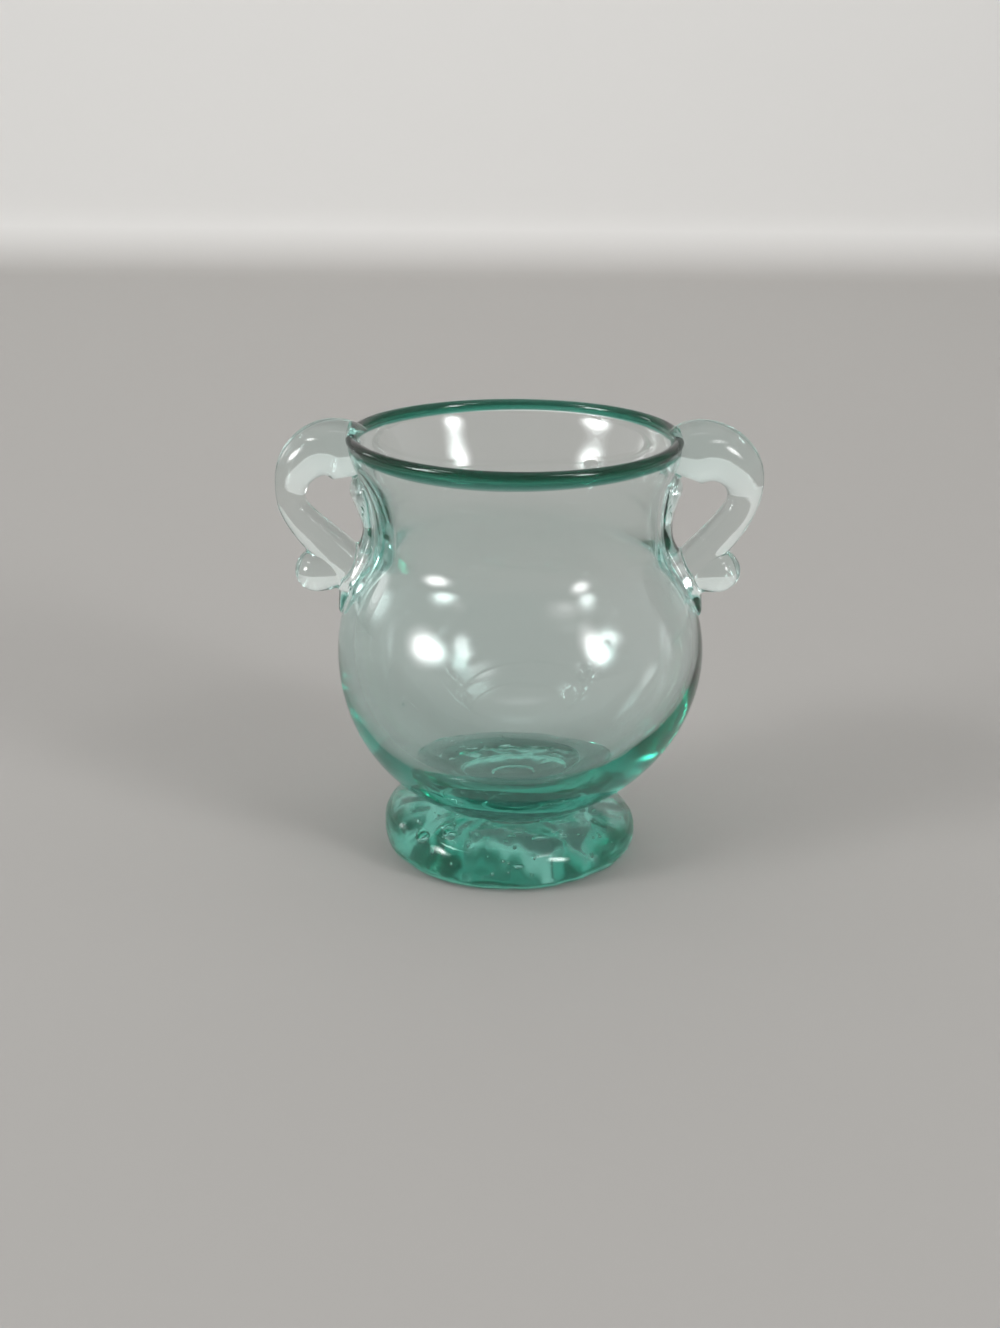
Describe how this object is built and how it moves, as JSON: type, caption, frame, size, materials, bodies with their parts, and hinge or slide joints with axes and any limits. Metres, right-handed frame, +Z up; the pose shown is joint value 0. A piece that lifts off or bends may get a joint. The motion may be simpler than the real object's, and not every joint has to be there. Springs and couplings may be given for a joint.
{
  "type": "two-handled glass vase",
  "caption": "Small blown glass vase with a round bowl, waisted neck, fire-polished rim, applied pad foot and a drawn loop handle on each side.",
  "frame": {"origin": "on the surface that the vase stands on, midway between the outer sides of the two handles", "axes": "+Z up through the mouth, +X from the left handle to the right handle, -Y towards the picture's viewer"},
  "size_m": [0.0786, 0.06, 0.0737],
  "materials": {
    "body_glass": "clear pale green, fire-polished",
    "foot_glass": "green, bubbled and streaked, polished skin",
    "handle_glass": "clear, almost colourless, fire-polished"
  },
  "bodies": {
    "root": {"vessel_body": "body_glass", "foot": "foot_glass", "handle_left": "handle_glass", "handle_right": "handle_glass"}
  },
  "joints": []
}
